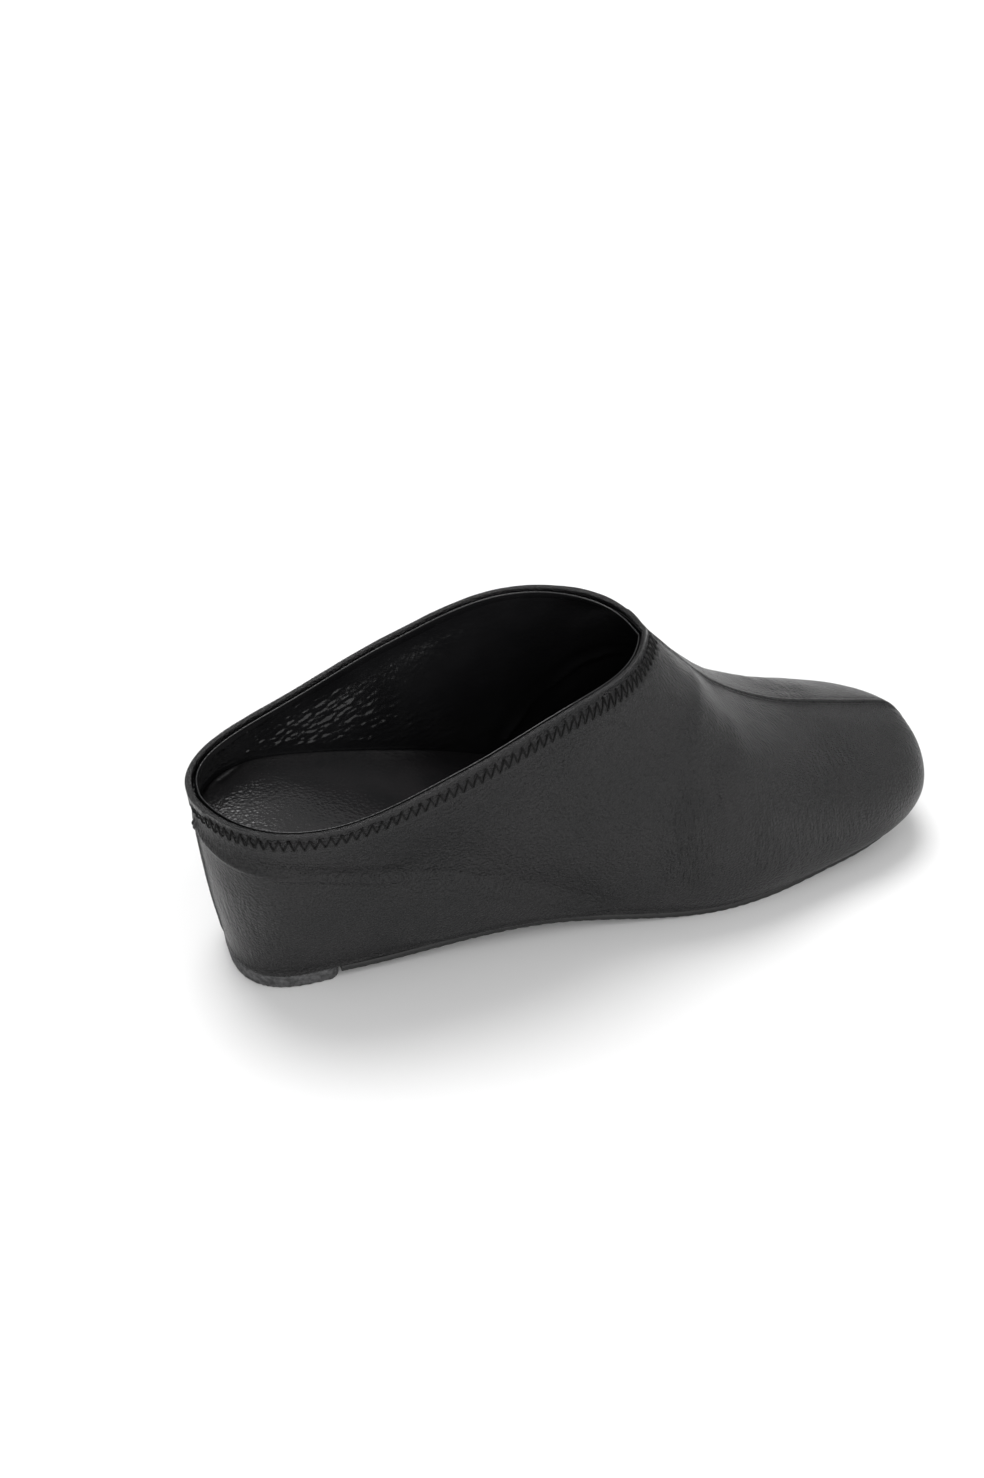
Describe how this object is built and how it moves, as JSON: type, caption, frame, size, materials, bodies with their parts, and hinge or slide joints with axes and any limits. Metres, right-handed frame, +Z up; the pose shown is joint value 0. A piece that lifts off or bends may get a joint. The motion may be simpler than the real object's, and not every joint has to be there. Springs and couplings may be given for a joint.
{
  "type": "clog",
  "caption": "Closed-toe, closed-heel leather clog on a covered wedge heel, with a wide oval collar, padded insole, thin outsole and a low heel piece.",
  "frame": {"origin": "under the middle of the shoe, on the ground", "axes": "+X from heel to toe, +Y to the inner (medial) side of this right shoe, +Z up"},
  "size_m": [0.2526, 0.0908, 0.0889],
  "materials": {
    "upper_leather": "soft full-grain leather, satin",
    "binding_leather": "folded leather edge, satin",
    "sock_leather": "padded smooth lining leather, semi-gloss",
    "wedge_foam": "closed-cell foam, matte",
    "sole_rubber": "thin sole rubber, matte",
    "heel_rubber": "grainy heel rubber, matte"
  },
  "bodies": {
    "root": {"upper": "upper_leather", "collar_binding": "binding_leather", "insole": "sock_leather", "wedge": "wedge_foam", "outsole": "sole_rubber", "heel_top_piece": "heel_rubber"}
  },
  "joints": []
}
